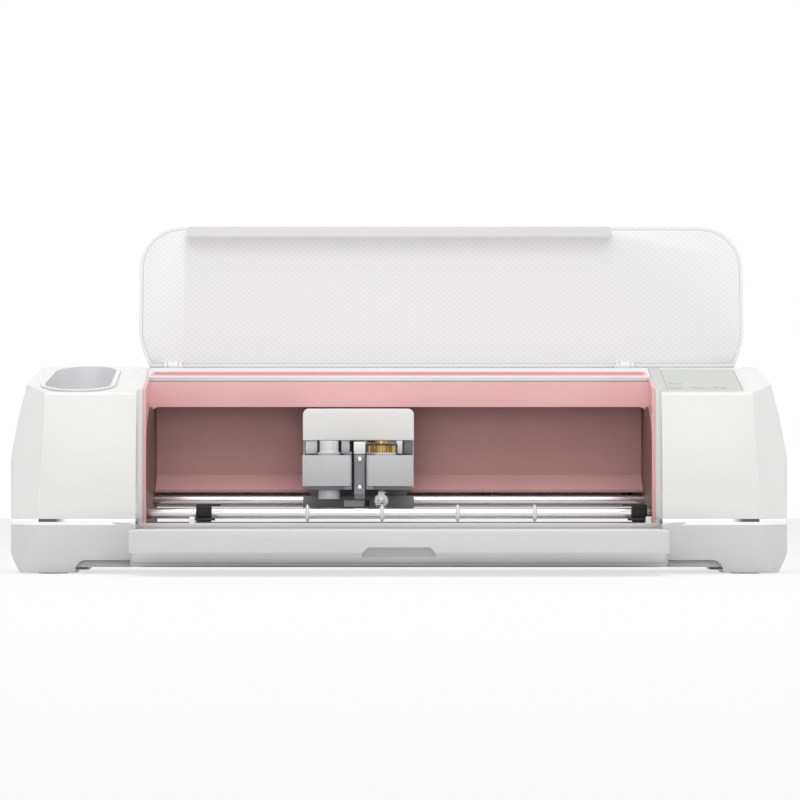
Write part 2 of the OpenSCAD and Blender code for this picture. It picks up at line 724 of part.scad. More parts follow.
// a belt loop's outline: two half circles joined by straight runs
loop_steps = 12;
function belt_loop(r) = concat(
    [for (i = [0:loop_steps]) [drive_x, belt_y] + polar(r, -90 + 180 * i / loop_steps)],
    [for (i = [0:loop_steps]) [idler_x, belt_y] + polar(r, 90 + 180 * i / loop_steps)]);
module x_belt() placed() color(black) translate([0, 0, belt_z]) linear_extrude(belt_w)
    difference() {
        polygon(belt_loop(belt_out));
        polygon(belt_loop(belt_in));
    }

// ---- electronics ----
board_y0 = hinge_y + 2;
board_y1 = body_d - 8;
board_x0 = jack_x - 60;
board_x1 = usb_x + 28;
board_t = 1.6;
chip_h = 1.8;
// chips: [from the board's left edge, from its front edge, side]
chips = [[16, 8, 14], [36, 10, 16], [76, 8, 10]];
post_in = 6;
module main_board() placed() {
    color(board) block(board_x0, board_x1, board_y0, board_y1, port_z, port_z + board_t);
    color(black) for (c = chips)
        block(board_x0 + c.x, board_x0 + c.x + c[2], board_y0 + c.y, board_y0 + c.y + c[2],
            port_z + board_t, port_z + board_t + chip_h);
    color(steel) for (x = [board_x0 + post_in, board_x1 - post_in])
        for (y = [board_y0 + post_in, board_y1 - 2 * post_in])
            rod_z(post_in / 2, exit_z + exit_roof_t, port_z, x, y);
}
module usb_port() placed() color(steel) difference() {
    block(usb_x - 6, usb_x + 6, body_d - 19, body_d - 3, port_z + 1.6, port_z + 12.6);
    block(usb_x - 4.6, usb_x + 4.6, body_d - 14, body_d, port_z + 3, port_z + 11.2);
}
module power_inlet() placed() color(black) {
    difference() {
        rod_y(5, body_d - 15, body_d - 3, jack_x, port_z + 7.2);
        rod_y(3.2, body_d - 12, body_d, jack_x, port_z + 7.2);
    }
    block(jack_x - 5, jack_x + 5, body_d - 20, body_d - 14, port_z + 1.6, port_z + 12);
    rod_y(1, body_d - 14, body_d - 5, jack_x, port_z + 7.2);
}

// ---- front door ----
door_y0 = door_y - door_len;
door_y1 = door_y + 4;
door_low = door_top - door_t;
door_heel = 24;
lip_in = 2.2;
door_skin = [[door_y0, door_top, 1.5], [door_y1, door_top, 1.5], [door_y1, door_low + 3, 6],
    [door_y - 30, door_low, 80], [door_y0 + door_heel, door_low, 12],
    [door_y0 + lip_in, door_top - door_lip, 0], [door_y0, door_top - door_lip, 1]];
door_front = [[-door_half + 0.5, door_top, 0], [-door_half + 0.5, door_low - 1, 2.6],
    [door_half - 0.5, door_low - 1, 2.6], [door_half - 0.5, door_top, 0]];
hinge_boss_l = 9;
module door_form(t) intersection() {
    along_x(inset(door_skin, t), -door_half + t, door_half - t);
    along_y(inset(door_front, t), door_y0 - 1, door_y1 + 1);
}
module front_door() placed() color(white) difference() {
    union() {
        difference() {
            door_form(0);
            door_form(wall);
            block(wall - door_half, door_half - wall, door_y0 + wall, door_y1 - wall,
                door_top - wall, door_top + 1);
        }
        intersection() {
            door_form(0);
            union() {
                block(-scoop_w / 2 - 4, scoop_w / 2 + 4, door_y0, door_y0 + 12, 0, door_top - 9);
                for (side = [-1, 1])
                    block(side * (door_half - hinge_boss_l / 2) - hinge_boss_l / 2,
                        side * (door_half - hinge_boss_l / 2) + hinge_boss_l / 2,
                        door_y - 5, door_y1, 0, door_z + 6);
            }
        }
    }
    along_y([[-scoop_w / 2, door_low + 4.6, 3], [scoop_w / 2, door_low + 4.6, 3],
        [scoop_w / 2 - 7.5, door_top - 12, 3], [7.5 - scoop_w / 2, door_top - 12, 3]],
        door_y0 - 1, door_y0 + 9);
    for (side = [-1, 1])
        rod_x(hinge_pin_r + 0.5 + run, side * (door_half - 5) - 5.5, side * (door_half - 5) + 5.5,
            door_y, door_z);
}
tray_split = -70;
trays = [[-door_half + 10, tray_split - 5], [tray_split + 5, door_half - 10]];
tray_y0 = door_y0 + 17;
tray_y1 = door_y - 16;
module door_inner_panel() placed() color(pale) difference() {
    union() {
        block(wall + 0.2 - door_half, door_half - wall - 0.2, door_y0 + wall + 0.2,
            door_y1 - wall - 0.2, door_top - wall + 0.1, door_top - 0.1);
        for (t = trays) along_z(box_outline(t[0] - 2, t[1] + 2, tray_y0 - 2, tray_y1 + 2, 8),
            door_top - tray_depth - 2, door_top - 0.1);
    }
    for (t = trays)
        along_z(box_outline(t[0], t[1], tray_y0, tray_y1, 6), door_top - tray_depth, door_top + 1);
}
module door_hinge_pins() placed() color(steel)
    for (side = [-1, 1])
        rod_x(hinge_pin_r + 0.5, side * (door_half - 1) - 5, side * (door_half - 1) + 5, door_y,
            door_z);

// ---- lid ----
lid_face = 1.6;
lid_corner = 32;
lid_foot = 0.8;
lid_foot_r = 42;
lid_belly = 21;
lid_outline = [[9 - lid_left, lid_foot, 2], [1 - lid_left, lid_belly, lid_foot_r],
    [0.5 - lid_left, lid_len, lid_corner], [lid_right - 1, lid_len, lid_corner],
    [lid_right - 1.5, lid_belly, lid_foot_r], [lid_right - 9, lid_foot, 2]];
lid_skin = 2.4;
knuckle_w = 8;
knuckle_r = 4;
ear_w = 2.5;
ear_r = 3.4;
ear_gap = 0.4;
module ear_slots() for (x = hinge_at) for (side = [-1, 1]) {
    mid = x + side * (knuckle_w / 2 + gap + ear_w / 2);
    in_lid() block(mid - ear_w / 2 - ear_gap, mid + ear_w / 2 + ear_gap, 0, ear_r + ear_gap, -far, far);
}
module lid_panel() placed() color(white) difference() {
    union() {
        in_lid() difference() {
            translate([0, 0, -lid_face - lid_t]) linear_extrude(lid_t) polygon(rounded(lid_outline));
            translate([0, 0, -lid_face - lid_t + lid_skin]) linear_extrude(lid_t)
                polygon(rounded(inset(lid_outline, wall)));
        }
        for (x = hinge_at) {
            rod_x(knuckle_r, x - knuckle_w / 2, x + knuckle_w / 2, hinge_y, hinge_z);
            in_lid() block(x - knuckle_w / 2, x + knuckle_w / 2, 0, lid_foot + wall, -knuckle_r, -lid_face);
        }
    }
    ear_slots();
    for (x = hinge_at) rod_x(hinge_pin_r + run, x - knuckle_w, x + knuckle_w, hinge_y, hinge_z);
}
module lid_inner_panel() placed() color(pale) difference() {
    in_lid() {
        translate([0, 0, -lid_face - lid_t + lid_skin]) linear_extrude(lid_t - lid_skin)
            polygon(rounded(inset(lid_outline, wall + 0.2)));
        along_z(box_outline(-lip_w / 2, lip_w / 2, lid_len - wall - 7.7, lid_len - wall - 0.2, 3.5),
            -lid_face, lip_drop - lid_face);
    }
    ear_slots();
    for (x = hinge_at) rod_x(knuckle_r + gap, x - knuckle_w / 2 - gap, x + knuckle_w / 2 + gap, hinge_y,
        hinge_z);
}
module lid_hinge_pins() placed() color(steel)
    for (x = hinge_at) rod_x(hinge_pin_r, x - knuckle_w / 2 - ear_w, x + knuckle_w / 2 + ear_w,
        hinge_y, hinge_z);
module lid_hinge_ears() placed() color(dark)
    for (x = hinge_at) for (side = [-1, 1]) difference() {
        x0 = x + side * (knuckle_w / 2 + gap + ear_w / 2) - ear_w / 2;
        union() {
            rod_x(ear_r, x0, x0 + ear_w, hinge_y, hinge_z);
            block(x0, x0 + ear_w, hinge_y - 3, hinge_y + 3, hinge_z - hinge_groove_r + 0.7, hinge_z);
        }
        rod_x(hinge_pin_r, x0 - 1, x0 + ear_w + 1, hinge_y, hinge_z);
    }

// ---- carriage ----
cover_y0 = tool_y + pen_r + 0.9;
cover_y1 = rail_y + 8;
cover_t = 2;
cover_face_t = 2.5;
cover_round = 4.5;
flange_z = clamp_z + 1.5;
flange_y = rail_y - 2;
flange_t = 1.3;
frame_in_x = 3.2;
plate_y = rail_y + 5;
plate_t = 3.5;
plate_low = 47.5;
column_x0 = car_mid - 3.6;
column_x1 = car_mid + 3.8;
column_y = tool_y - 8;
web_z = 54;
slider_x = [car_mid - 16, car_mid + 14];
slider_r = lower_rail_r + 3.5;
slider_y = 5;
apron_z = clamp_z - 4.5;
pinion_shaft_r = 1.5;
neck_x = [car_mid - 30, car_mid + 30];
neck_y = rail_y - 5;
pinion_z = clamp_top - 8.5;
pinion_l = 18;
module carriage_frame() placed() color(dark) difference() {
    union() {
        block(car_x0 + frame_in_x, car_x1 - frame_in_x, cover_y0 + cover_face_t, rail_y + 10,
            cover_z + 1.1, cover_z + cover_h - frame_in_x);
        block(neck_x[0], neck_x[1], neck_y, rail_y + 9.5, cover_z + cover_h - frame_in_x - 1,
            upper_rail_z + 6);
        block(car_x0 + 5, car_x1 - 5, plate_y, plate_y + plate_t, plate_low, cover_z + 2);
        block(car_x0, car_x1, rail_y - slider_y - plate_t, rail_y - slider_y, plate_low, apron_z);
        block(slider_x[0], slider_x[1], rail_y - slider_y, rail_y + slider_y + 1, lower_rail_z - slider_r,
            lower_rail_z + slider_r);
        block(column_x0, column_x1, column_y, tool_y, clamp_z - 5, cover_z - 1.5);
        block(column_x0, column_x1, column_y, rail_y - 4, web_z, clamp_z - 1);
    }
    rod_x(lower_rail_r + run, car_x0, car_x1, rail_y, lower_rail_z);
    rod_x(upper_rail_r + run, car_x0, car_x1, rail_y, upper_rail_z);
    block(car_x0, car_x1, belt_y - belt_out - 0.4, belt_y - belt_in + 0.4, belt_z - 0.5,
        belt_z + belt_w + 0.5);
    rod_z(pinion_shaft_r + run, cover_z, cover_z + 10, pinion_x, pinion_y);
}
function cover_outline(t) = [[car_x0 + t, cover_z - sign(t), 0], [car_x1 - t, cover_z - sign(t), 0],
    [car_x1 - t, cover_z + cover_h - t, cover_round - 1.5 * t],
    [car_x0 + t, cover_z + cover_h - t, cover_round - 1.5 * t]];
module carriage_cover() placed() color(white) {
    difference() {
        along_y(cover_outline(0), cover_y0, cover_y1);
        along_y(cover_outline(cover_t), cover_y0 + cover_face_t, cover_y1 + 1);
        block(neck_x[0] - gap, neck_x[1] + gap, neck_y - gap, cover_y1 + 1, cover_z, far);
    }
    for (x = [car_x0, car_x1 - flange_t])
        block(x, x + flange_t, flange_y, cover_y1, flange_z, cover_z + cover_t);
}
module drive_pinion() placed() color(steel) {
    translate([pinion_x, pinion_y, pinion_z])
        gear(drive_teeth, blade_module, pinion_l, drive_dir + 180 + 180 / drive_teeth, 0);
    rod_z(pinion_shaft_r, pinion_z, cover_z + 9, pinion_x, pinion_y);
}

module clamp_block(x0, x1, tongue_x0, tongue_x1, pin_x) {
    block(x0, x1, clamp_face, clamp_back, clamp_z, clamp_top);
    block(tongue_x0, tongue_x1, clamp_back - 1, rail_y + 4.5, clamp_z + 7, clamp_top);
    for (z = [clamp_z, clamp_top + 0.2])
        block(pin_x - 2.6, pin_x + 2.6, clamp_front, clamp_face + 2, z, z + ear_t);
    block(pin_x - 2.6, pin_x + 2.6, clamp_face, clamp_face + 2, clamp_z, clamp_top + 0.2 + ear_t);
    rod_z(lever_pin_r, clamp_z, clamp_top + ear_t, pin_x, lever_pin_y);
}
module clamp_lever(x0, x1, pin_x) difference() {
    union() {
        block(x0, x1, clamp_front, clamp_front + lever_t, clamp_z + ear_t + 0.25, clamp_top - 0.1);
        rod_z(2.4, clamp_z + ear_t + 0.25, clamp_top - 0.1, pin_x, lever_pin_y);
    }
    rod_z(lever_pin_r + run, 0, far, pin_x, lever_pin_y);
}
a_pin_x = car_mid - 8.3;
b_pin_x = car_mid + 7.8;
module clamp_a_block() placed() color(dark) difference() {
    clamp_block(car_x0 + 1, car_mid - 6, car_x0 + 8, car_mid - 19, a_pin_x);
    rod_z(adapter_r + run, 0, far, pen_x, tool_y);
}
module clamp_a_lever() placed() color(pale)
    clamp_lever(car_x0 + 0.3, a_pin_x, a_pin_x);
adapter_drop = 7;
module pen_adapter() placed() color(pale) difference() {
    union() {
        rod_z(adapter_r, clamp_z - adapter_drop, cover_z - 0.4, pen_x, tool_y);
        rod_z(adapter_r + 1, clamp_z - adapter_drop, clamp_z - gap, pen_x, tool_y);
        rod_z(adapter_r + 1.4, clamp_top, clamp_top + 2.4, pen_x, tool_y);
    }
    rod_z(pen_r, 0, far, pen_x, tool_y);
}
module clamp_b_block() placed() color(dark) difference() {
    clamp_block(car_mid + 4.6, car_x1 - 1, car_mid + 17, car_x1 - 8, b_pin_x);
    rod_z(housing_r + run, 0, clamp_z + 15, tool_x, tool_y);
    rod_z(neck_r + run, 0, far, tool_x, tool_y);
    rod_z(pinion_room, clamp_top - 9, far, pinion_x, pinion_y);
}
module clamp_b_lever() placed() color(pale)
    clamp_lever(b_pin_x, car_x1 - 0.7, b_pin_x);
module blade_housing() placed() color(white) difference() {
    union() {
        rod_z(housing_r, clamp_z + 0.2, clamp_z + 15, tool_x, tool_y);
        rod_z(neck_r, clamp_z + 10, clamp_top + 2, tool_x, tool_y);
        rod_z(neck_r + 4, clamp_top, clamp_top + 2, tool_x, tool_y);
    }
    rod_z(turret_r + run, 0, far, tool_x, tool_y);
    rod_z(pinion_room, 0, far, pinion_x, pinion_y);
}
gear_z = clamp_top + 2.3;
module drive_gear() placed() color(brass) translate([tool_x, tool_y, gear_z]) {
    gear(blade_teeth, blade_module, 5, drive_dir, 0);
    cylinder(r = 5.25, h = cover_z - gear_z - 0.4, $fn = round_n);
}
fork_gap = 1.5;
fork_t = 1.3;
axle_r = 0.9;
module blade_fork() placed() color(bright) {
    rod_z(turret_r, clamp_z - 1.5, gear_z, tool_x, tool_y);
    rod_z(4.5, clamp_z - 2.4, clamp_z - 1, tool_x, tool_y);
    for (side = [-1, 1])
        block(tool_x - 2.4, tool_x + 2.4, tool_y + side * (fork_gap + fork_t / 2) / 2 * 1.6 - fork_t / 2,
            tool_y + side * (fork_gap + fork_t / 2) / 2 * 1.6 + fork_t / 2, blade_z - 2, clamp_z - 2.2);
    rod_y(axle_r, tool_y - fork_gap - fork_t, tool_y + fork_gap + fork_t, tool_x, blade_z);
}
blade_t = 0.8;
module rotary_blade() placed() color(steel) translate([tool_x, tool_y, blade_z])
    rotate([90, 0, 0]) difference() {
        rotate_extrude($fn = round_n) polygon([[0, -blade_t / 2], [blade_r - 1.5, -blade_t / 2],
            [blade_r, 0], [blade_r - 1.5, blade_t / 2], [0, blade_t / 2]]);
        cylinder(r = axle_r + run, h = 4, center = true, $fn = round_n);
    }

// ---- assembly ----
base_tray();
bottom_pan();
rubber_feet();
pan_screws();
chrome_trim();
left_tower_shell();
right_tower_shell();
top_cover();
docking_tray();
pink_band();
cavity_liner();
rear_cover();
tool_cup();
control_panel();
power_button();
load_button();
pause_button();
go_button();
deck_plate();
mat_guides();
side_frames();
carriage_rails();
roller_bushings();
grit_roller();
roller_gear();
pinch_shaft();
pinch_rollers();
star_wheel_1();
star_wheel_2();
star_wheel_3();
star_wheel_4();
feed_motor();
motor_brackets();
motor_pinion();
x_motor();
x_drive_pulley();
x_idler_pulley();
x_belt();
main_board();
power_inlet();
usb_port();
door_hinge_pins();
front_door();
door_inner_panel();
lid_hinge_ears();
lid_hinge_pins();
lid_panel();
lid_inner_panel();
carriage_frame();
carriage_cover();
drive_pinion();
clamp_a_block();
clamp_a_lever();
pen_adapter();
clamp_b_block();
clamp_b_lever();
blade_housing();
drive_gear();
blade_fork();
rotary_blade();
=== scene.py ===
import json
import math

import bpy
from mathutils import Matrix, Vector


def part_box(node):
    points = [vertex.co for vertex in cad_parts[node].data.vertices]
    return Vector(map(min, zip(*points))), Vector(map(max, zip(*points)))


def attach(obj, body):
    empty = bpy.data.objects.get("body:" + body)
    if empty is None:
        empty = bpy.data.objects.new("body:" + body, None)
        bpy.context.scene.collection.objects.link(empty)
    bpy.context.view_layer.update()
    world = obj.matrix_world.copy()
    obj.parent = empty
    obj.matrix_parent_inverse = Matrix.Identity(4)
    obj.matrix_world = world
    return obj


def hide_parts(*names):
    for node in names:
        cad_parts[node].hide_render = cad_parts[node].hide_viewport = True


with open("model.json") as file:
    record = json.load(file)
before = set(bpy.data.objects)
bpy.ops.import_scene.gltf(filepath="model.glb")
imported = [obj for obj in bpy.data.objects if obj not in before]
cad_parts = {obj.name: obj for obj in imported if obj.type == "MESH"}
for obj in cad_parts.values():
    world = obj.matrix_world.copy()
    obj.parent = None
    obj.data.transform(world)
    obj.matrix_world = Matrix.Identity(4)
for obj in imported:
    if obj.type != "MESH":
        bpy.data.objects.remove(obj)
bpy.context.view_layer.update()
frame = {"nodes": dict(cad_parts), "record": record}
mm = 0.001
centreY = 43.5  # the footprint's middle lies this far behind the towers' front plane
edges = {"flatDeg": 0.5, "bevelDeg": 32, "nodeDeg": 28, "pieceDeg": 35, "wireDeg": 40, "segments": 2,
    "nodeMerge": 0.00001, "pieceMerge": 0.000001}  # merge distances in metres
print("frame loaded")


# small helpers, and the values that the finishes share
surface = {"grainDetail": 3, "driftMm": 60, "driftDetail": 2, "plasticIor": 1.53, "coatRoughness": 0.08,
    "tint": (0.3, 0.7), "relief": (0.0, 0.8),  # where the dark and the light colour begin
    "gloss": (-0.04, 0.05), "brushed": (0.7, 1.4), "brushStretch": 0.02, "brushMm": 0.002,
    "waveLength": 0.3142}  # length of one wave of the texture at scale 1


def at(x, y, z):  # millimetres from the towers' front plane to metres in the frame
    return Vector((x * mm, (y - centreY) * mm, z * mm))


def linearColour(hexValue):
    parts = [int(hexValue[i : i + 2], 16) / 255 for i in (0, 2, 4)]
    return [p / 12.92 if p <= 0.04045 else ((p + 0.055) / 1.055) ** 2.4 for p in parts] + [1.0]


def addNode(material, kind, settings=None, links=None):
    node = material.node_tree.nodes.new(kind)
    for key, value in (settings or {}).items():
        if key == "stops":  # (place, colour) pairs of a colour ramp
            for element, (place, hexValue) in zip(node.color_ramp.elements, value):
                element.position = place
                element.color = linearColour(hexValue)
        elif isinstance(key, int) or key in node.inputs:
            node.inputs[key].default_value = value
        else:
            setattr(node, key, value)
    for key, source in (links or {}).items():
        material.node_tree.links.new(source, node.inputs[key])
    return node


def newMaterial(name, **sockets):
    material = bpy.data.materials.new(name)
    material.use_nodes = True
    shader = material.node_tree.nodes["Principled BSDF"]
    for key, value in sockets.items():
        shader.inputs[key.replace("_", " ")].default_value = value
    return material, shader


def patternScale(sizeMm):  # texture scale that gives features of this size
    return 1 / (sizeMm * mm)


def objectPoint(material, stretch=(1, 1, 1)):
    place = addNode(material, "ShaderNodeTexCoord").outputs["Object"]
    if stretch == (1, 1, 1):
        return place
    return addNode(material, "ShaderNodeMapping", {"Scale": stretch}, {"Vector": place}).outputs[0]


def grainBump(material, shader, sizeMm, depthMm, stretch=(1, 1, 1)):
    point = objectPoint(material, stretch)
    noise = addNode(material, "ShaderNodeTexNoise",
        {"Scale": patternScale(sizeMm), "Detail": surface["grainDetail"]}, {"Vector": point})
    bump = addNode(material, "ShaderNodeBump", {"Distance": depthMm * mm, "Strength": 1.0},
        {"Height": noise.outputs["Fac"]})
    material.node_tree.links.new(bump.outputs[0], shader.inputs["Normal"])
    return noise.outputs["Fac"]


def seenDirectly(material):
    path = addNode(material, "ShaderNodeLightPath")
    either = addNode(material, "ShaderNodeMath", {"operation": "MAXIMUM"},
        {0: path.outputs["Is Camera Ray"], 1: path.outputs["Is Glossy Ray"]})
    return addNode(material, "ShaderNodeMath", {"operation": "MAXIMUM"},
        {0: either.outputs[0], 1: path.outputs["Is Transmission Ray"]}).outputs[0]


# materials
def mouldedPlastic(name, light, dark, roughness, grainMm=0.9, depthMm=0.004, coat=0.0):
    # moulded plastic or rubber: an even colour with a very fine grain and faint drifts of tint
    material, shader = newMaterial(name, Roughness=roughness, IOR=surface["plasticIor"],
        Coat_Weight=coat, Coat_Roughness=surface["coatRoughness"])
    grain = grainBump(material, shader, grainMm, depthMm)
    drift = addNode(material, "ShaderNodeTexNoise",
        {"Scale": patternScale(surface["driftMm"]), "Detail": surface["driftDetail"]},
        {"Vector": objectPoint(material)})
    tint = addNode(material, "ShaderNodeValToRGB", {"stops": zip(surface["tint"], (dark, light))},
        {0: drift.outputs["Fac"]})
    material.node_tree.links.new(tint.outputs["Color"], shader.inputs["Base Color"])
    low, high = [roughness + change for change in surface["gloss"]]
    rough = addNode(material, "ShaderNodeMapRange", {"To Min": low, "To Max": high}, {"Value": grain})
    material.node_tree.links.new(rough.outputs[0], shader.inputs["Roughness"])
    return material


def workedMetal(name, light, dark, roughness, along, grainMm=0.35):
    # drawn, turned or brushed metal: fine lines along one axis, the way it was worked
    material, shader = newMaterial(name, Metallic=1.0, Roughness=roughness)
    stretch = tuple(surface["brushStretch"] if i == along else 1.0 for i in range(3))
    grain = grainBump(material, shader, grainMm, surface["brushMm"], stretch)
    tint = addNode(material, "ShaderNodeValToRGB", {"stops": zip(surface["tint"], (dark, light))}, {0: grain})
    material.node_tree.links.new(tint.outputs["Color"], shader.inputs["Base Color"])
    low, high = [roughness * share for share in surface["brushed"]]
    rough = addNode(material, "ShaderNodeMapRange", {"To Min": low, "To Max": high}, {"Value": grain})
    material.node_tree.links.new(rough.outputs[0], shader.inputs["Roughness"])
    return material


def flatPoint(material):  # X across and height or depth together, for faces that lie or stand
    point = addNode(material, "ShaderNodeSeparateXYZ", {}, {0: objectPoint(material)})
    both = addNode(material, "ShaderNodeMath", {"operation": "ADD"},
        {0: point.outputs["Y"], 1: point.outputs["Z"]})
    return addNode(material, "ShaderNodeCombineXYZ", {},
        {"X": point.outputs["X"], "Y": both.outputs[0]}).outputs[0]


def embossedPlastic(name, light, dark, roughness, pitchMm, depthMm):
    # moulded ABS with a fine diamond emboss, from two sets of slanting ribs; the emboss's low parts are
    # painted darker, a painted shade in its grooves
    material, shader = newMaterial(name, Roughness=roughness, IOR=surface["plasticIor"])
    heights = []
    for turn in (45, -45):
        slant = addNode(material, "ShaderNodeMapping", {"Rotation": (0, 0, math.radians(turn))},
            {"Vector": flatPoint(material)})
        ribs = addNode(material, "ShaderNodeTexWave", {"wave_profile": "SIN", "Distortion": 0.0,
            "Scale": patternScale(pitchMm) * surface["waveLength"]}, {"Vector": slant.outputs[0]})
        heights.append(ribs.outputs["Fac"])
    relief = addNode(material, "ShaderNodeMath", {"operation": "MULTIPLY"},
        {0: heights[0], 1: heights[1]}).outputs[0]
    bump = addNode(material, "ShaderNodeBump", {"Distance": depthMm * mm, "Strength": 1.0},
        {"Height": relief})
    material.node_tree.links.new(bump.outputs[0], shader.inputs["Normal"])
    # painted shade: the low parts of the emboss take the dark colour
    tint = addNode(material, "ShaderNodeValToRGB", {"stops": zip(surface["relief"], (dark, light))},
        {0: relief})
    material.node_tree.links.new(tint.outputs["Color"], shader.inputs["Base Color"])
    return material


whiteAbs = mouldedPlastic("white gloss ABS", "eeeeed", "ebebea", 0.28, coat=0.25)
baseAbs = mouldedPlastic("pale grey satin ABS", "dadada", "d6d6d7", 0.38)
doorAbs = mouldedPlastic("door grey satin ABS", "d9d9d9", "d5d5d6", 0.4)
pinkAbs = mouldedPlastic("rose pink ABS", "f3bfc0", "efb9ba", 0.42)
roseLiner = mouldedPlastic("dusky rose ABS", "bd8a8a", "b78484", 0.5)
# painted shade: a darker copy of the liner's rose, for its side walls
sideWallShade = mouldedPlastic("painted shade rose ABS", "805c5c", "7a5757", 0.5)
trayAbs = mouldedPlastic("tray grey ABS", "f0f0f0", "ebebeb", 0.45)
trayShader = trayAbs.node_tree.nodes["Principled BSDF"]
trayShader.inputs["Specular IOR Level"].default_value = 0.1  # a dull face that mirrors little
cupAbs = mouldedPlastic("cup grey ABS", "e4e4e5", "dededf", 0.35)
pinSteel = workedMetal("polished pin steel", "ffffff", "f4f4f5", 0.1, 1)
slateAbs = mouldedPlastic("slate grey ABS", "8a8a8d", "7e7e82", 0.4)
clampDark = mouldedPlastic("mid grey ABS", "a2a2a4", "98989a", 0.4)
blackAbs = mouldedPlastic("black ABS", "1d1d1f", "151517", 0.42)
nylonWhite = mouldedPlastic("white nylon", "fafaf8", "f2f2f0", 0.35)
markAbs = mouldedPlastic("printed mark grey", "9a9a9c", "929294", 0.5)
# painted light: a lighter copy of the liner's rose, for its ledge
ledgeLight = mouldedPlastic("painted light rose ABS", "d39f9f", "cd9999", 0.5)
# a darker grey than the lid, for the lid lip's forward faces
lipDarker = mouldedPlastic("lid lip darker grey", "e0dedf", "dad8d9", 0.4)
# painted shade: a darker grey for the recessed faces of the door's finger scoop
scoopShade = mouldedPlastic("painted scoop shade grey ABS", "bfbfc0", "b9b9ba", 0.4)
keyAbs = mouldedPlastic("key grey ABS", "d0d2d1", "cacccb", 0.4)
blackRubber = mouldedPlastic("black nitrile rubber", "1a1a1a", "101010", 0.75, 0.5, 0.02)
boardGreen = mouldedPlastic("green epoxy board", "1f5c3a", "184c2f", 0.4)
lidAbs = embossedPlastic("embossed white ABS", "f3f3f3", "ececec", 0.36, 3.4, 0.05)
panelAbs = embossedPlastic("embossed pale grey ABS", "d6d8d7", "ccceca", 0.4, 3.4, 0.06)
clampAbs = embossedPlastic("etched grey ABS", "d2d2d2", "c2c2c3", 0.45, 1.9, 0.12)
railSteel = workedMetal("ground steel", "fdfdfd", "f0f0f1", 0.24, 0)
frameSteel = workedMetal("pressed zinc plated steel", "c8c8cc", "a9a9ad", 0.35, 1, 0.8)
motorSteel = workedMetal("turned motor steel", "8f8f94", "6c6c70", 0.35, 2)
brassTurned = workedMetal("turned brass", "e6cb8c", "cfae68", 0.28, 2)
bladeSteel = workedMetal("polished blade steel", "cfcfd2", "a2a2a6", 0.12, 0)


def gritSteel():
    # feed roller: a steel bar with a rough etched grit, speckled light and dark
    grit = {"roughness": 0.42, "grainMm": 0.7, "depthMm": 0.05, "tint": [(0.35, "9a9a9c"), (0.6, "e2e2e4")]}
    material, shader = newMaterial("grit etched steel", Metallic=1.0, Roughness=grit["roughness"])
    grain = grainBump(material, shader, grit["grainMm"], grit["depthMm"])
    tint = addNode(material, "ShaderNodeValToRGB", {"stops": grit["tint"]}, {0: grain})
    material.node_tree.links.new(tint.outputs["Color"], shader.inputs["Base Color"])
    return material


def chromePlate():
    # chromium plated strip: mirror bright, its front slightly rolled towards both ends
    roll = {"startMm": 228, "endMm": 262, "lean": 0.42}
    plate = {"roughness": 0.06, "waveMm": 8, "depthMm": 0.001, "tint": [(0.3, "fafafb"), (0.7, "ffffff")]}
    material, shader = newMaterial("chromium plate", Metallic=1.0, Roughness=plate["roughness"])
    grain = grainBump(material, shader, plate["waveMm"], plate["depthMm"])
    tint = addNode(material, "ShaderNodeValToRGB", {"stops": plate["tint"]}, {0: grain})
    material.node_tree.links.new(tint.outputs["Color"], shader.inputs["Base Color"])
    place = addNode(material, "ShaderNodeSeparateXYZ", {}, {0: objectPoint(material)})
    side = addNode(material, "ShaderNodeMath", {"operation": "SIGN"}, {0: place.outputs["X"]})
    out = addNode(material, "ShaderNodeMath", {"operation": "ABSOLUTE"}, {0: place.outputs["X"]})
    lean = addNode(material, "ShaderNodeMapRange", {"From Min": roll["startMm"] * mm,
        "From Max": roll["endMm"] * mm, "To Min": 0.0, "To Max": roll["lean"]}, {"Value": out.outputs[0]})
    push = addNode(material, "ShaderNodeMath", {"operation": "MULTIPLY"},
        {0: lean.outputs[0], 1: side.outputs[0]})
    offset = addNode(material, "ShaderNodeCombineXYZ", {}, {"X": push.outputs[0]})
    outward = addNode(material, "ShaderNodeNewGeometry").outputs["Normal"]
    bent = addNode(material, "ShaderNodeVectorMath", {"operation": "ADD"},
        {0: outward, 1: offset.outputs[0]})
    even = addNode(material, "ShaderNodeVectorMath", {"operation": "NORMALIZE"}, {0: bent.outputs[0]})
    material.node_tree.links.new(even.outputs[0], shader.inputs["Normal"])
    return material


gritRoller = gritSteel()
chrome = chromePlate()
print("materials ready")


# CAD nodes that keep their shape
def copyNode(name):
    source = frame["nodes"][name]
    bpy.ops.object.select_all(action="DESELECT")
    copy = bpy.data.objects.new(name + "_piece", source.data.copy())
    bpy.context.scene.collection.objects.link(copy)
    copy.select_set(True)
    bpy.context.view_layer.objects.active = copy
    return copy


def softenEdges(piece, widthMm):
    bpy.ops.object.select_all(action="DESELECT")
    piece.select_set(True)
    bpy.context.view_layer.objects.active = piece
    bpy.ops.object.mode_set(mode="EDIT")
    bpy.ops.mesh.select_all(action="SELECT")
    bpy.ops.mesh.remove_doubles(threshold=edges["nodeMerge"])
    bpy.ops.mesh.dissolve_limited(angle_limit=math.radians(edges["flatDeg"]))
    bpy.ops.object.mode_set(mode="OBJECT")
    if widthMm:
        bevel = piece.modifiers.new("bevel", "BEVEL")
        bevel.width = widthMm * mm
        bevel.segments = edges["segments"]
        bevel.limit_method = "ANGLE"
        bevel.angle_limit = math.radians(edges["bevelDeg"])
        bpy.ops.object.modifier_apply(modifier="bevel")
    bpy.ops.object.shade_smooth_by_angle(angle=math.radians(edges["nodeDeg"]))


def bodyOf(name):
    for body, members in frame["record"]["behaviour"]["bodies"].items():
        if name in members:
            return body


def paint(piece, material):
    piece.data.materials.clear()
    piece.data.materials.append(material)


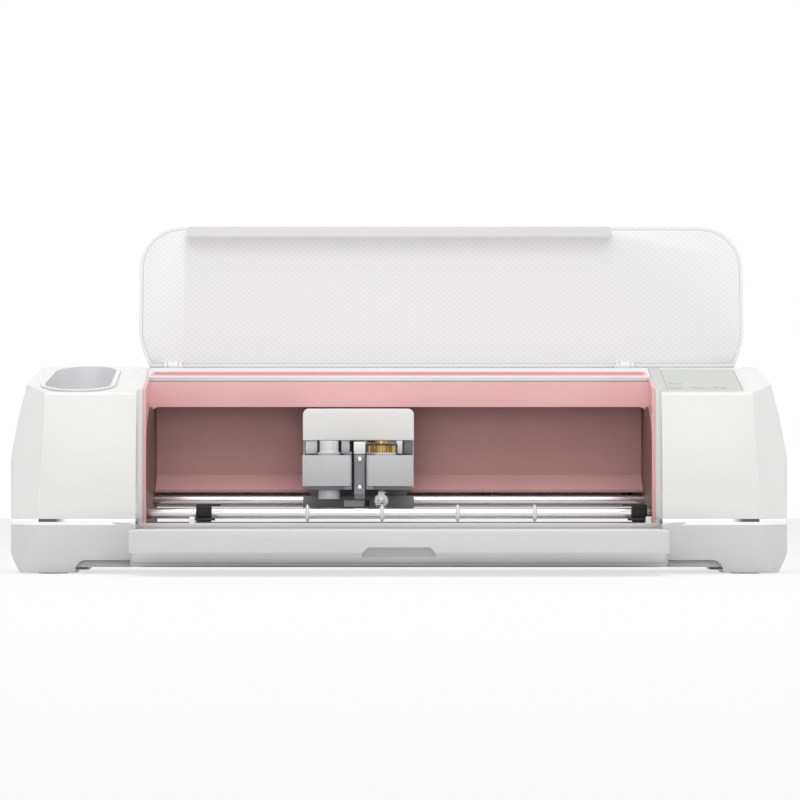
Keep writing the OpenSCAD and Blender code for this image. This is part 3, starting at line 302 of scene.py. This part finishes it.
# tools for new pieces
def beginPiece():
    if bpy.context.object and bpy.context.object.mode != "OBJECT":
        bpy.ops.object.mode_set(mode="OBJECT")
    bpy.ops.object.select_all(action="DESELECT")


def pickFaces(piece, test):  # selects only the faces that pass, in object mode
    for face in piece.data.polygons:
        face.select = bool(test(face))
    for edge in piece.data.edges:
        edge.select = False
    for vertex in piece.data.vertices:
        vertex.select = False


# a block with softened edges between two corners in mm, tilted about X
def slab(name, low, high, bevelMm, segments=2, tiltDeg=0):
    beginPiece()
    middle = at(*[(a + b) / 2 for a, b in zip(low, high)])
    bpy.ops.mesh.primitive_cube_add(size=1, location=middle)
    piece = bpy.context.object
    piece.name = name
    piece.scale = [(b - a) * mm for a, b in zip(low, high)]
    bpy.ops.object.transform_apply(location=True, rotation=True, scale=True)
    bpy.ops.object.mode_set(mode="EDIT")
    bpy.ops.mesh.select_all(action="SELECT")
    bpy.ops.mesh.bevel(offset=bevelMm * mm, segments=segments)
    if tiltDeg:
        bpy.ops.mesh.select_all(action="SELECT")
        bpy.ops.transform.rotate(value=-math.radians(tiltDeg), orient_axis="X", center_override=middle)
    bpy.ops.object.mode_set(mode="OBJECT")
    bpy.ops.object.shade_smooth_by_angle(angle=math.radians(edges["pieceDeg"]))
    return piece


tipMm = 0.01  # a profile that starts this thin gets no end faces, so its far end lies on another piece


# a revolved piece from pairs of length along the axis and radius, in mm
def turned(name, profile, axis, place, steps):
    beginPiece()
    bpy.ops.mesh.primitive_circle_add(vertices=steps, radius=1, fill_type="NOTHING",
        location=(0, 0, 0))
    piece = bpy.context.object
    piece.name = name
    bpy.ops.object.mode_set(mode="EDIT")
    bpy.ops.mesh.select_all(action="SELECT")
    along, radius = profile[0]
    bpy.ops.transform.resize(value=(radius * mm, radius * mm, 1))
    bpy.ops.transform.translate(value=(0, 0, along * mm))
    if radius > tipMm:
        bpy.ops.mesh.edge_face_add()
        bpy.ops.mesh.select_all(action="SELECT")
    last = radius
    for step, radius in profile[1:]:
        bpy.ops.mesh.extrude_region_move(TRANSFORM_OT_translate={"value": (0, 0, (step - along) * mm)})
        bpy.ops.transform.resize(value=(radius / last, radius / last, 1),
            center_override=(0, 0, step * mm))
        along, last = step, radius
    bpy.ops.mesh.select_all(action="SELECT")
    bpy.ops.mesh.remove_doubles(threshold=edges["pieceMerge"])
    bpy.ops.mesh.normals_make_consistent(inside=False)
    bpy.ops.object.mode_set(mode="OBJECT")
    if axis == "x":
        piece.rotation_euler = (0, math.radians(90), 0)
    if axis == "y":
        piece.rotation_euler = (math.radians(-90), 0, 0)
    piece.location = at(*place)
    bpy.ops.object.transform_apply(location=True, rotation=True, scale=True)
    bpy.ops.object.shade_smooth_by_angle(angle=math.radians(edges["pieceDeg"]))
    return piece


def fit(piece, material, body, *nodes):
    paint(piece, material)
    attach(piece, body)
    if nodes:
        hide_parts(*nodes)
    return piece


nodeFinishes = {  # node: (material, edge radius in mm)
    "base_tray": (baseAbs, 0.5), "bottom_pan": (baseAbs, 0.3), "rubber_feet": (blackRubber, 0.6),
    "pan_screws": (frameSteel, 0.2), "chrome_trim": (chrome, 0.2), "left_tower_shell": (whiteAbs, 0.6),
    "right_tower_shell": (whiteAbs, 0.6), "top_cover": (whiteAbs, 0.5), "docking_tray": (pinkAbs, 0.3),
    "pink_band": (pinkAbs, 0.4), "cavity_liner": (roseLiner, 0.4), "rear_cover": (whiteAbs, 0.5),
    "tool_cup": (cupAbs, 0.4), "control_panel": (panelAbs, 0.2), "power_button": (keyAbs, 0.3),
    "load_button": (keyAbs, 0.3), "pause_button": (keyAbs, 0.3), "go_button": (keyAbs, 0.3),
    "deck_plate": (trayAbs, 0.4), "mat_guides": (nylonWhite, 0.2), "side_frames": (frameSteel, 0.2),
    "carriage_rails": (railSteel, 0.3), "roller_bushings": (blackAbs, 0.2),
    "grit_roller": (gritRoller, 0.3), "roller_gear": (nylonWhite, 0), "pinch_shaft": (railSteel, 0.3),
    "pinch_rollers": (blackRubber, 0.5),
    "feed_motor": (motorSteel, 0.5),
    "motor_brackets": (frameSteel, 0.2), "motor_pinion": (brassTurned, 0), "x_motor": (motorSteel, 0.5),
    "x_drive_pulley": (frameSteel, 0.2), "x_idler_pulley": (frameSteel, 0.2), "x_belt": (blackRubber, 0.1),
    "main_board": (boardGreen, 0.1), "power_inlet": (blackAbs, 0.2), "usb_port": (frameSteel, 0.2),
    "door_hinge_pins": (railSteel, 0.2), "front_door": (doorAbs, 0.25), "door_inner_panel": (trayAbs, 0.5),
    "lid_hinge_ears": (whiteAbs, 0.3), "lid_hinge_pins": (railSteel, 0.2), "lid_panel": (whiteAbs, 0.5),
    "lid_inner_panel": (lidAbs, 0.5), "carriage_frame": (slateAbs, 0.3), "carriage_cover": (whiteAbs, 0.6),
    "drive_pinion": (frameSteel, 0), "clamp_a_block": (slateAbs, 0.3), "clamp_a_lever": (clampAbs, 0.5),
    "pen_adapter": (cupAbs, 0.3), "clamp_b_block": (slateAbs, 0.3), "clamp_b_lever": (clampAbs, 0.5),
    "blade_housing": (whiteAbs, 0.3), "drive_gear": (brassTurned, 0), "blade_fork": (bladeSteel, 0.2),
    "rotary_blade": (bladeSteel, 0),
}
dressed = {}
for name, (material, edge) in nodeFinishes.items():
    piece = dressed[name] = copyNode(name)
    softenEdges(piece, edge)
    paint(piece, material)
    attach(piece, bodyOf(name))
    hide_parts(name)


def secondFinish(piece, material, test):  # gives the faces that pass a finish of their own
    piece.data.materials.append(material)
    for face in piece.data.polygons:
        if test(face):
            face.material_index = len(piece.data.materials) - 1


def splitAcross(piece, test, xMm):  # cuts the faces that pass at one place across the machine
    beginPiece()
    piece.select_set(True)
    bpy.context.view_layer.objects.active = piece
    bpy.ops.object.mode_set(mode="EDIT")
    bpy.ops.mesh.select_mode(type="FACE")
    bpy.ops.mesh.select_all(action="DESELECT")
    bpy.ops.object.mode_set(mode="OBJECT")
    pickFaces(piece, test)
    bpy.ops.object.mode_set(mode="EDIT")
    bpy.ops.mesh.bisect(plane_co=(xMm * mm, 0, 0), plane_no=(1, 0, 0))
    bpy.ops.mesh.select_mode(type="VERT")
    bpy.ops.object.mode_set(mode="OBJECT")


facing = {"square": 0.9, "side": 0.7, "slope": 0.5, "slight": 0.3}  # least share of the normal on an axis
topAbove = 0.12  # metres; the top faces of the towers and the cup lie above this
lidLip = {"above": 0.24, "before": 0.099}  # metres in the frame, where the lip's front lies
doorScoop = {"halfWidth": 0.0335, "front": -0.1292, "back": -0.12, "below": 0.0215}  # metres in the frame


def liesOnTop(face):
    return face.normal.z > facing["square"] and face.center.z > topAbove


def besidePanel(face):
    return liesOnTop(face) and face.normal.y < 0 and face.center.x < panelLeft * mm


def onLedge(face):
    return face.normal.y < -facing["slope"] and face.normal.z > facing["slope"]


def onLidLip(face):
    return (face.normal.y < -facing["square"] and face.center.z > lidLip["above"]
        and face.center.y < lidLip["before"])


def inScoop(face):
    return (face.normal.y < -facing["slight"] and abs(face.center.x) < doorScoop["halfWidth"]
        and doorScoop["front"] < face.center.y < doorScoop["back"] and face.center.z < doorScoop["below"])


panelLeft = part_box("control_panel")[0][0] / mm
splitAcross(dressed["right_tower_shell"], liesOnTop, panelLeft)
secondFinish(dressed["right_tower_shell"], panelAbs, besidePanel)
secondFinish(dressed["tool_cup"], whiteAbs, liesOnTop)
# the liner's side walls get the painted shade rose
secondFinish(dressed["cavity_liner"], sideWallShade, lambda face: abs(face.normal.x) > facing["side"])
# the liner's ledge gets the painted light rose
secondFinish(dressed["cavity_liner"], ledgeLight, onLedge)
# the lid lip's forward faces are drawn a darker grey than the lid
secondFinish(dressed["lid_inner_panel"], lipDarker, onLidLip)
# the scoop's recessed faces get painted shade
secondFinish(dressed["front_door"], scoopShade, inScoop)
secondFinish(dressed["lid_panel"], lidAbs, lambda face: face.normal.y < -facing["square"])
print("CAD shapes dressed")


# door and deck details
heel = {"lipY": -90.8, "lipZ": 16.4, "slopeDeg": -22.66, "thickMm": 1.2, "edgeMm": 0.1,
    "strips": {  # side: (from x, to x, near, far), in mm, near and far down the slope from the lip
        "left": (-187.3, -33.3, 0, 16.2), "right": (33.3, 187.3, 0, 16.2), "middle": (-33.6, 33.6, 9.7, 16.2),
    }}


def lipStrip(side, fromX, toX, near, far):  # lies in the slope under the door's lip
    lean = math.radians(-heel["slopeDeg"])
    along, half = (near + far) / 2, heel["thickMm"] / 2
    y = heel["lipY"] + along * math.cos(lean) + half * math.sin(lean)
    z = heel["lipZ"] - along * math.sin(lean) + half * math.cos(lean)
    reach = (far - near) / 2
    return slab(f"lip_strip_{side}", (fromX, y - reach, z - half), (toX, y + reach, z + half),
        heel["edgeMm"], 1, heel["slopeDeg"])


for side, strip in heel["strips"].items():
    fit(lipStrip(side, *strip), doorAbs, "door")

sill = {"fromX": {"left": -190.3, "right": 187.0}, "wide": 3.3, "y": (26.8, 28.0), "z": (34.6, 40.6),
    "edgeMm": 0.1}
for side, fromX in sill["fromX"].items():
    near, far = zip(sill["y"], sill["z"])
    fit(slab(f"pocket_sill_{side}", (fromX, *near), (fromX + sill["wide"], *far), sill["edgeMm"], 1),
        whiteAbs, "machine")

plug = {"radius": 2.62, "length": 40, "place": (-290, 11, 18), "steps": 40}


# closes the hinge bore's outer end, cut to the base's own outline as it is on the other side
def basePlug():
    beginPiece()
    form = copyNode("base_tray")
    softenEdges(form, 0)
    form.scale = (-1, 1, 1)
    bpy.ops.object.transform_apply(location=True, rotation=True, scale=True)
    bpy.ops.object.mode_set(mode="EDIT")
    bpy.ops.mesh.select_all(action="SELECT")
    bpy.ops.mesh.normals_make_consistent(inside=False)
    bpy.ops.object.mode_set(mode="OBJECT")
    piece = turned("base_plug", [(0, plug["radius"]), (plug["length"], plug["radius"])], "x",
        plug["place"], plug["steps"])
    cut = piece.modifiers.new("cut", "BOOLEAN")
    cut.operation = "INTERSECT"
    cut.solver = "EXACT"
    cut.object = form
    bpy.ops.object.modifier_apply(modifier="cut")
    bpy.data.objects.remove(form)
    bpy.ops.object.shade_smooth_by_angle(angle=math.radians(edges["nodeDeg"]))
    return piece


fit(basePlug(), baseAbs, "machine")
print("door, pocket and base closed")


# key marks
keyMarks = {"slopeDeg": 11.2, "thickMm": 0.12, "lineMm": 0.55,
    "ring": {"radius": 2.0, "line": 1.25, "stepDeg": 40, "lines": 8},
    "lines": {  # (x, y, length, turn in degrees) of each line, in mm
        "power": [(0, 1.5, 1.8, 90)],
        "load": [(-1.0, 0.55, 1.9, 45), (-1.0, -0.55, 1.9, -45),
            (1.0, 0.55, 1.9, 45), (1.0, -0.55, 1.9, -45)],
        "pause": [(-0.8, 0, 3.0, 90), (0.8, 0, 3.0, 90)],
        "go": [(-1.1, 0, 3.0, 90), (0.1, 0.75, 2.9, -32), (0.1, -0.75, 2.9, 32)],
    }}


def strokes(kind):  # the power sign adds an open ring of short lines
    ring = keyMarks["ring"]
    turns = [math.radians(ring["stepDeg"] * (n + 1)) for n in range(ring["lines"] if kind == "power" else 0)]
    around = [(ring["radius"] * math.sin(turn), ring["radius"] * math.cos(turn), ring["line"],
        -math.degrees(turn)) for turn in turns]
    return around + keyMarks["lines"][kind]


def keyMark(kind):  # a thin printed sign that lies on the key's sloping top
    low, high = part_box(f"{kind}_button")
    lean = math.radians(keyMarks["slopeDeg"])
    radius = (high[0] - low[0]) / 2
    top = Vector(((low[0] + high[0]) / 2, low[1] + radius * math.cos(lean),
        high[2] - radius * math.sin(lean)))
    beginPiece()
    bars = []
    for x, y, long, turn in strokes(kind):
        bpy.ops.mesh.primitive_cube_add(size=1, location=(x * mm, y * mm, 0),
            rotation=(0, 0, math.radians(turn)))
        bar = bpy.context.object
        bar.scale = (long * mm, keyMarks["lineMm"] * mm, keyMarks["thickMm"] * mm)
        bars.append(bar)
    for bar in bars:
        bar.select_set(True)
    bpy.ops.object.join()
    piece = bpy.context.object
    piece.name = f"{kind}_mark"
    bpy.ops.object.transform_apply(location=True, rotation=True, scale=True)
    piece.rotation_euler = (lean, 0, 0)
    piece.location = top + Vector((0, -math.sin(lean), math.cos(lean))) * keyMarks["thickMm"] / 2 * mm
    bpy.ops.object.transform_apply(location=True, rotation=True, scale=True)
    return piece


for kind in keyMarks["lines"]:
    fit(keyMark(kind), markAbs, f"{kind}_key")
print("keys marked")


# carriage details
carriage = {"midX": -29.0, "toolX": -13.0, "toolY": 60.0, "clampTop": 87.0, "coverZ": 97.4, "windowY": 67.0,
    "backY": 80.0, "apronY": 79.5, "columnY": 52.0}
backY, windowY, apronY, columnY = [carriage[key] for key in ("backY", "windowY", "apronY", "columnY")]
low, high = carriage["clampTop"] + 0.5, carriage["coverZ"] - 0.1
windowPieces = {  # name: (low corner, high corner, edge, material), in mm
    "window_back": ((-32.0, backY, low), (2.4, backY + 1.4, high), 0.2, nylonWhite),
    "window_column_1": ((-69.0, windowY + 1, low), (-60.4, windowY + 3.5, high), 0.4, cupAbs),
    "window_column_2": ((-42.6, windowY + 1, low), (-36.4, windowY + 3.5, high), 0.4, cupAbs),
    "window_block": ((3.4, windowY + 2, low), (9.6, windowY + 8, high), 0.4, slateAbs),
    "column_face": ((-33.0, columnY - 1.1, 57.5), (-25.0, columnY - 0.1, 86.6), 0.3, clampDark),
    "window_bracket_1": ((-33.2, columnY - 1.2, 87.2), (-24.7, columnY - 0.1, 96.2), 0.25, nylonWhite),
    "window_bracket_2": ((-16.0, 71.4, 87.6), (2.4, 72.6, 97.2), 0.25, nylonWhite),
    "window_bracket_3": ((-1.9, 66.8, 87.6), (2.4, 68.4, 97.2), 0.25, nylonWhite),
}
apronPieces = {
    "apron_block": ((-40.8, apronY - 1.8, 48.4), (-25.6, apronY - 0.05, 53.2), 0.35, trayAbs),
    "apron_stop": ((-24.6, apronY - 1.6, 48.6), (-22.2, apronY - 0.05, 53.4), 0.2, blackAbs),
}
pins = {"profile": [(0, tipMm), (0.1, 1.4), (0.7, 2.0), (1.6, 2.2)], "x": carriage["midX"] + 0.2,
    "y": columnY - 2.6, "z": (63.0, 83.4), "steps": 20}


def fitBlocks(blocks):
    for name, (low, high, edge, material) in blocks.items():
        fit(slab(name, low, high, edge), material, "carriage")


fitBlocks(windowPieces)
for n, z in enumerate(pins["z"]):
    fit(turned(f"column_pin_{n + 1}", pins["profile"], "y", (pins["x"], pins["y"], z), pins["steps"]),
        pinSteel, "carriage")
fitBlocks(apronPieces)

guard = {"radius": 11.4, "wire": 0.55, "z": 94.0, "rings": 56, "steps": 10,
    "postWide": 0.5, "postDeep": 0.6, "postEdge": 0.2,
    "postFrom": carriage["clampTop"] - 0.2, "postTo": 94.2}


def gearGuard():  # a bent wire guard round the front of the brass gear
    beginPiece()
    middle = at(carriage["toolX"], carriage["toolY"], guard["z"])
    bpy.ops.mesh.primitive_torus_add(major_radius=guard["radius"] * mm, minor_radius=guard["wire"] * mm,
        major_segments=guard["rings"], minor_segments=guard["steps"], location=middle)
    piece = bpy.context.object
    piece.name = "gear_guard"
    bpy.ops.object.transform_apply(location=True, rotation=True, scale=True)
    bpy.ops.object.mode_set(mode="EDIT")
    bpy.ops.mesh.select_all(action="SELECT")
    bpy.ops.mesh.bisect(plane_co=middle, plane_no=(0, 1, 0), clear_outer=True, use_fill=True)
    bpy.ops.object.mode_set(mode="OBJECT")
    bpy.ops.object.shade_smooth_by_angle(angle=math.radians(edges["wireDeg"]))
    return piece


fit(gearGuard(), blackAbs, "clamp_b")
for name, side in (("guard_post_1", -1), ("guard_post_2", 1)):
    x, y = carriage["toolX"] + side * guard["radius"], carriage["toolY"]
    post = slab(name, (x - guard["postWide"], y - guard["postDeep"], guard["postFrom"]),
        (x + guard["postWide"], y + guard["postDeep"], guard["postTo"]), guard["postEdge"])
    fit(post, blackAbs, "clamp_b")
print("carriage detailed")


# feed details
starWheel = {"count": 4, "steps": 40, "radius": 7.5, "profile": [(-2.3, 2.6), (-1.9, 4.2), (-1.0, 6.4),
    (-0.35, 7.5), (0.35, 7.5), (1.0, 6.4), (1.9, 4.2), (2.3, 2.6)]}
for n in range(1, starWheel["count"] + 1):
    low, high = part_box(f"star_wheel_{n}")
    middle = [(a + b) / 2 / mm for a, b in zip(low, high)]
    tall = (high[2] - low[2]) / 2 / mm
    profile = [(step, radius * tall / starWheel["radius"]) for step, radius in starWheel["profile"]]
    wheel = turned(f"star_wheel_{n}_lens", profile, "x", (middle[0], middle[1] + centreY, middle[2]),
        starWheel["steps"])
    fit(wheel, nylonWhite, bodyOf(f"star_wheel_{n}"), f"star_wheel_{n}")

yoke = {"centres": (-143.4, 176.1), "front": 37.2, "back": 38.35, "inward": (13.0, 9.0),
    "outward": (4.4, 7.2), "heights": ((49.0, 50.6), (38.4, 40.2)), "edgeMm": 0.4}
for centre in yoke["centres"]:
    inner = -math.copysign(1, centre)
    for n, (z0, z1) in enumerate(yoke["heights"]):
        ends = sorted((centre + inner * yoke["inward"][n], centre - inner * yoke["outward"][n]))
        name = f"roller_yoke_{'left' if centre < 0 else 'right'}_{n + 1}"
        fit(slab(name, (ends[0], yoke["front"], z0), (ends[1], yoke["back"], z1), yoke["edgeMm"]),
            blackAbs, "machine")
print("feed detailed")


# floor, light and camera
studio = {"floorSize": 12.0, "floorColour": "f6f6f6", "floorGlow": 0.7, "worldLevel": 0.62,
    "sideShade": 0.12, "sideFrom": 0.35, "sideTo": 0.55, "frontBelow": -0.3, "aim": (0, 0, 0.08),
    "lamps": {  # name: (place, size, power)
        "overhead softbox": ((0, -0.9, 2.2), (3.0, 2.0), 30.0),
        "front softbox": ((0, -3.2, 1.2), (2.6, 1.2), 5.0),
    }}
bpy.ops.object.select_all(action="DESELECT")
bpy.ops.mesh.primitive_plane_add(size=studio["floorSize"], location=(0, 0, 0))
floor = bpy.context.object
floor.name = "floor"
floorPaint, floorShader = newMaterial("matt white floor", Roughness=0.9)
floorShader.inputs["Base Color"].default_value = linearColour(studio["floorColour"])
seen = seenDirectly(floorPaint)  # the eye and mirrors see a bright floor with a light shadow
white = addNode(floorPaint, "ShaderNodeEmission", {"Color": (1, 1, 1, 1), "Strength": 1.0})
share = addNode(floorPaint, "ShaderNodeMath", {"operation": "MULTIPLY", 1: studio["floorGlow"]},
    {0: seen})
floorMix = addNode(floorPaint, "ShaderNodeMixShader", {},
    {0: share.outputs[0], 1: floorShader.outputs[0], 2: white.outputs[0]})
floorPaint.node_tree.links.new(floorMix.outputs[0],
    floorPaint.node_tree.nodes["Material Output"].inputs["Surface"])
paint(floor, floorPaint)


def areaLight(name, place, size, power):
    bpy.ops.object.light_add(type="AREA", location=place)
    lamp = bpy.context.object
    lamp.name = name
    lamp.data.shape = "RECTANGLE"
    lamp.data.size, lamp.data.size_y = size
    lamp.data.energy = power
    aim = Vector(studio["aim"]) - Vector(place)
    lamp.rotation_euler = aim.to_track_quat("-Z", "Y").to_euler()


for name, (place, size, power) in studio["lamps"].items():
    areaLight(name, place, size, power)

world = bpy.data.worlds.new("studio")
bpy.context.scene.world = world
world.use_nodes = True
background = world.node_tree.nodes["Background"]
background.inputs["Color"].default_value = (1, 1, 1, 1)
level = addNode(world, "ShaderNodeMapRange", {"To Min": studio["worldLevel"], "To Max": 1.0},
    {"Value": seenDirectly(world)})
# two darker cards at the sides, seen only as reflections
heading = addNode(world, "ShaderNodeTexCoord").outputs["Generated"]
apart = addNode(world, "ShaderNodeSeparateXYZ", {}, {0: heading})
aside = addNode(world, "ShaderNodeMath", {"operation": "ABSOLUTE"}, {0: apart.outputs["X"]})
ahead = addNode(world, "ShaderNodeMath", {"operation": "LESS_THAN", 1: studio["frontBelow"]},
    {0: apart.outputs["Y"]})
flag = addNode(world, "ShaderNodeMapRange", {"From Min": studio["sideFrom"], "From Max": studio["sideTo"],
    "To Min": 0.0, "To Max": 1.0}, {"Value": aside.outputs[0]})
flagged = addNode(world, "ShaderNodeMath", {"operation": "MULTIPLY"},
    {0: flag.outputs[0], 1: ahead.outputs[0]})
mirrored = addNode(world, "ShaderNodeMath", {"operation": "MULTIPLY"},
    {0: flagged.outputs[0], 1: addNode(world, "ShaderNodeLightPath").outputs["Is Glossy Ray"]})
dim = addNode(world, "ShaderNodeMapRange", {"To Min": 1.0, "To Max": studio["sideShade"]},
    {"Value": mirrored.outputs[0]})
strength = addNode(world, "ShaderNodeMath", {"operation": "MULTIPLY"},
    {0: level.outputs[0], 1: dim.outputs[0]})
world.node_tree.links.new(strength.outputs[0], background.inputs["Strength"])

view = {"distance": 3.0, "height": 0.060, "focalPx": 4155.0, "horizonRow": 491.0, "centreColumn": 399.0,
    "imagePx": 800, "sensorMm": 36, "clipEnd": 50}
halfPx = view["imagePx"] / 2
pxPerMetre = view["focalPx"] / view["distance"]  # at the towers' front plane
bpy.ops.object.camera_add(location=((halfPx - view["centreColumn"]) / pxPerMetre,
    -view["distance"] - centreY * mm, view["height"]))
camera = bpy.context.object
camera.data.sensor_width = view["sensorMm"]
camera.data.lens = view["focalPx"] / view["imagePx"] * view["sensorMm"]
pitch = math.atan((view["horizonRow"] - halfPx) / view["focalPx"])
camera.rotation_euler = (math.radians(90) + pitch, 0, 0)
camera.data.clip_end = view["clipEnd"]
bpy.context.scene.camera = camera
bpy.context.scene.view_settings.view_transform = "Standard"
print("studio ready")
